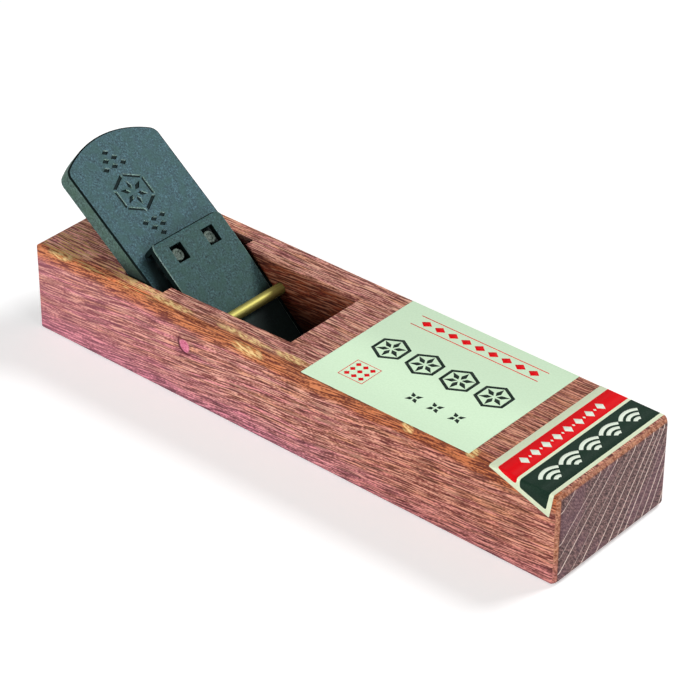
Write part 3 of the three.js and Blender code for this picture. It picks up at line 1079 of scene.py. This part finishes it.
def plate_window(edge):
    """Whether an edge of the press plate is on one of its windows."""
    ends = [on_blade(vertex.co) for vertex in edge.verts]
    inward = max(abs(end.y) for end in ends) < WINDOWS_HALF_WIDTH
    along = [end.x for end in ends]
    return inward and min(along) > PLATE_WINDOWS[0] and max(along) < PLATE_WINDOWS[1]


def plate_top(edge):
    """Whether an edge is on the outline of the plate's top face or of its heel's bend."""
    raised_most = max(blade_normal(face.normal).z for face in edge.link_faces)
    return raised_most > 0.1 and not plate_window(edge)


def plate_rest(edge):
    return not plate_top(edge) and not plate_window(edge)


def dress_plate(slate, rim, painted_edge_shade):
    """The press plate: a painted highlight along its top outline, and painted shade on its cut
    sides, its window walls and down its heel."""
    bm = softened(
        "press_plate",
        (plate_window, SMALL_EDGE, True, 0),
        # Rounded top outline: a painted highlight
        (plate_top, PLATE_EDGE, False, 1),
        # Other rounded edges: painted shade
        (plate_rest, SMALL_EDGE, True, 2),
        weld=PLATE_WELD,
    )
    # Painted shade on the cut sides, the window walls and down the heel
    for face in bm.faces:
        along = on_blade(face.calc_center_median()).x
        normal = blade_normal(face.normal)
        among_windows = PLATE_WINDOWS[0] < along < PLATE_WINDOWS[1]
        cut = abs(normal.y) > 0.95 or (abs(normal.x) > 0.9 and among_windows)
        down_heel = normal.z < HEEL_FACING and along > PLATE_WINDOWS[1]
        if (cut or down_heel) and face.material_index == 0:
            face.material_index = 2
    dress("plate_body", bm, [slate, rim, painted_edge_shade], "plate", "press_plate")


def dress_turned(node, name, radius, edge, material):
    """A round piece along Y with rounded ends, as long as its CAD node."""
    low, high = (Vector(corner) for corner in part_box(node))
    bm = bmesh.new()
    bmesh.ops.create_cone(
        bm, cap_ends=True, segments=ROUND_SIDES, radius1=radius * MM, radius2=radius * MM,
        depth=high.y - low.y,
    )
    round_off(bm, is_sharp, edge, True)
    bm.transform(Matrix.Translation((low + high) / 2) @ Matrix.Rotation(math.radians(90), 4, "X"))
    dress(name, bm, [material], "block", node)


def dress_plain(node, name, width, material):
    """A piece on the blade that is its CAD node with rounded edges."""
    bm = softened(node, (is_sharp, width, True, 0))
    dress(name, bm, [material], "blade", node)


def dress_top_label(mint, black, red):
    """The label across the top face: a row of hemp leaf stars, a red row of lozenges, a
    framed lattice and three small flowers."""
    left, right = TOP_LABEL
    corners = bar((left, -TOP_LABEL_EDGE), (right, TOP_LABEL_EDGE))[0]
    outline = rounded(corners, [TOP_LABEL_CORNER] * 4)
    layer(
        "top_label_sheet", [outline], flat_path, PAPER, PAPER, mint,
        stands_for=["top_label"],
    )

    dark = []
    for centre in row(*STAR_ROW):
        dark += ring(centre, *HEXAGON_RADII, 6, 30)
        dark += star(centre, STAR_RADIUS, 6, 30)
    for centre in row(*FLOWER_ROW):
        dark += star(centre, FLOWER_RADIUS, 4, 45)
    printed("top_label_dark", dark, flat_path, 1, black)

    bright = []
    for centre in row(*LOZENGE_ROW):
        bright += diamond(centre, *LOZENGE)
    for y in LINE_PLACES:
        bright += bar((left + LINE_MARGIN, y), (right - LINE_MARGIN, y + LINE_WIDTH))
    bright += ring(LATTICE_PLACE, *LATTICE_RADII, 4, 45)
    x, y = LATTICE_PLACE
    for i in (-1, 0, 1):
        for j in (-1, 0, 1):
            centre = (x + i * LATTICE_STEP, y + j * LATTICE_STEP)
            bright += diamond(centre, *LATTICE_LOZENGE)
    printed("top_label_red", bright, flat_path, 1, red)


def dress_end_label(cream, red, green, white):
    """The striped label, whose near edge is cut aslant and folded over the arris, with white
    lozenges on its red band and waves on its green one."""
    start, end = END_LABEL
    tip_x, tip_y = END_LABEL_TIP
    far = FAR_FOLD + FOLD_RADIUS * math.radians(FAR_FOLD_DEGREES)
    creases = [HALF_FOLD * (2 * i / FOLD_STEPS - 1) for i in range(FOLD_STEPS + 1)]
    creases += [FAR_FOLD + (far - FAR_FOLD) * i / FAR_FOLD_STEPS for i in range(FAR_FOLD_STEPS)]
    near = -HALF_FOLD * END_LABEL_NEAR_SHARE
    slope = (tip_y - near) / (tip_x - start)

    def inner_edge(x):
        return near + (x - start) * slope + END_LABEL_BORDER * math.hypot(1, slope)

    corners = [(start, near), (tip_x, tip_y), (end, -HALF_FOLD), (end, far), (start, far)]
    outline = rounded(corners, END_LABEL_CORNERS)
    layer(
        "end_label_sheet", [outline], wrap_path, PAPER, PAPER, cream,
        creases, ["end_label"],
    )
    low, high = RED_BAND
    corners = [(low, inner_edge(low)), (high, inner_edge(high)), (high, far), (low, far)]
    band = rounded(corners, RED_BAND_CORNERS)
    printed("end_label_red", [band], wrap_path, 1, red, creases)
    low, high = GREEN_BAND
    foot = high - GREEN_BAND_FOOT
    corners = [
        (low, inner_edge(low)), (foot, inner_edge(foot)),
        (high, -HALF_FOLD + GREEN_BAND_LIFT), (high, far), (low, far),
    ]
    band = rounded(corners, GREEN_BAND_CORNERS)
    printed("end_label_green", [band], wrap_path, 1, green, creases)

    marks = []
    for centre in row(*BAND_LOZENGE_ROW):
        marks += diamond(centre, *BAND_LOZENGE)
    for centre in row(*BAND_DOT_ROW):
        marks += diamond(centre, *BAND_DOT)
    for centre in row(*WAVE_ROW):
        for outer in WAVE_RADII:
            marks += arc(centre, outer, outer - WAVE_STROKE, *WAVE_DEGREES, WAVE_STEPS)
    printed("end_label_white", marks, wrap_path, 2, white)


def aim(thing, target):
    """Turns a lamp or camera to a target."""
    way = Vector(target) - thing.location
    thing.rotation_mode = "QUATERNION"
    thing.rotation_quaternion = way.to_track_quat("-Z", "Y")


def make_camera():
    data = bpy.data.cameras.new("camera")
    data.sensor_fit = "HORIZONTAL"
    data.sensor_width = SENSOR_WIDTH
    data.lens = CAMERA_LENS
    data.clip_start, data.clip_end = CAMERA_RANGE
    camera = add_object("camera", data)
    camera.location = Vector(CAMERA_PLACE) * MM
    aim(camera, Vector(CAMERA_AIM) * MM)
    camera.rotation_quaternion @= Quaternion((0, 0, 1), math.radians(CAMERA_ROLL))
    bpy.context.scene.camera = camera


def make_lamp(name, place, width, power):
    data = bpy.data.lights.new(name, "AREA")
    data.shape = "DISK"
    data.size = width
    data.energy = power
    made = add_object(name, data)
    made.location = place
    aim(made, LAMP_AIM)


def seen_directly(tree):
    """1 for rays from the camera, mirrors and glass, and 0 for the light on the object."""
    path = add_node(tree, "LightPath", {})
    total = path["Is Camera Ray"]
    for name in ("Is Glossy Ray", "Is Transmission Ray"):
        total = add_node(tree, "Math", {0: total, 1: path[name]}, operation="MAXIMUM")[0]
    return total


def make_world():
    """Dim white light on the object, in front of a white background."""
    world = bpy.data.worlds.new("studio")
    bpy.context.scene.world = world
    world.use_nodes = True
    tree = world.node_tree
    tree.nodes.clear()
    inputs = {0: seen_directly(tree)}
    for slot, strength in ((1, AMBIENT), (2, 1)):
        light = {"Color": (1, 1, 1, 1), "Strength": strength}
        inputs[slot] = add_node(tree, "Background", light)[0]
    surface = add_node(tree, "MixShader", inputs)[0]
    add_node(tree, "OutputWorld", {"Surface": surface})


def make_floor():
    """A matt floor that fades to white away from the object. Where it is seen directly it
    glows a little, which puts no light on the object."""
    mesh = bpy.data.meshes.new("floor")
    signs = ((-1, -1), (1, -1), (1, 1), (-1, 1))
    corners = [(x * FLOOR_REACH, y * FLOOR_REACH, -FLOOR_DROP * MM) for x, y in signs]
    mesh.from_pydata(corners, [], [(0, 1, 2, 3)])
    floor = add_object("floor", mesh)
    f = Finish("floor")
    matt = f.add("BsdfDiffuse", {"Color": (FLOOR_GREY, FLOOR_GREY, FLOOR_GREY, 1)})[0]
    glow = f.add("Emission", {"Strength": FLOOR_GLOW})[0]
    both = f.add("AddShader", {0: matt, 1: glow})[0]
    white = f.add("Emission", {})[0]
    away = f.reach(f.distance(f.x, f.y), *FLOOR_FADE)
    seen = f.add("MixShader", {0: away, 1: both, 2: white})[0]
    surface = f.add("MixShader", {0: seen_directly(f.tree), 1: matt, 2: seen})[0]
    mesh.materials.append(f.end_in(surface))


make_camera()
make_world()
make_floor()
for name, place, width, power in LAMPS:
    make_lamp(name, place, width, power)

dress_block(wood())
# Near-black paint used as painted shade on edges of the holder and the plate
painted_edge_shade = paint("painted_edge_shade", (10, 20, 20), shine=0.03)
dress_holder(
    paint("holder_paint", (69, 97, 105), shade_mask=holder_plate_shade),
    painted_edge_shade,
    paint("side_paint", (67, 88, 83), shade_mask=side_block_shade),
    # Painted shade in the ornament's hollows, and a painted highlight on some of their walls
    paint("stamp_shade_paint", (20, 34, 36), shine=0.06),
    paint("stamp_highlight_paint", (168, 200, 198)),
)
dress_plate(
    paint("plate_paint", (60, 86, 88), shade_mask=plate_toe_shade),
    # A painted highlight on the plate's top outline
    paint("rim_highlight_paint", (112, 134, 132)),
    painted_edge_shade,
)
dress_turned("press_rod", "rod_body", ROD_RADIUS, SMALL_EDGE, brass())
dress_turned("rod_plug", "plug_body", PLUG_FIT, PLUG_EDGE, plug_wood())
stud = stud_metal()
ground = blade_steel()
dress_plain("plate_stud_near", "stud_near_body", SMALL_EDGE, stud)
dress_plain("plate_stud_far", "stud_far_body", SMALL_EDGE, stud)
dress_plain("cutting_blade", "blade_body", BLADE_EDGE, ground)
dress_plain("blade_pin_near", "pin_near_body", SMALL_EDGE, ground)
dress_plain("blade_pin_far", "pin_far_body", SMALL_EDGE, ground)
red_ink = ink("red_ink", (232, 8, 20), (214, 22, 30))
dress_top_label(
    paper("mint_paper", (220, 246, 214), (208, 236, 202)),
    ink("black_ink", (22, 36, 30), (44, 60, 50)),
    red_ink,
)
dress_end_label(
    paper("cream_paper", (232, 242, 210), (218, 230, 194)),
    red_ink,
    ink("green_ink", (20, 42, 32), (40, 62, 48)),
    ink("white_ink", (240, 250, 234), (222, 236, 214)),
)

bpy.context.scene.view_settings.view_transform = "Standard"
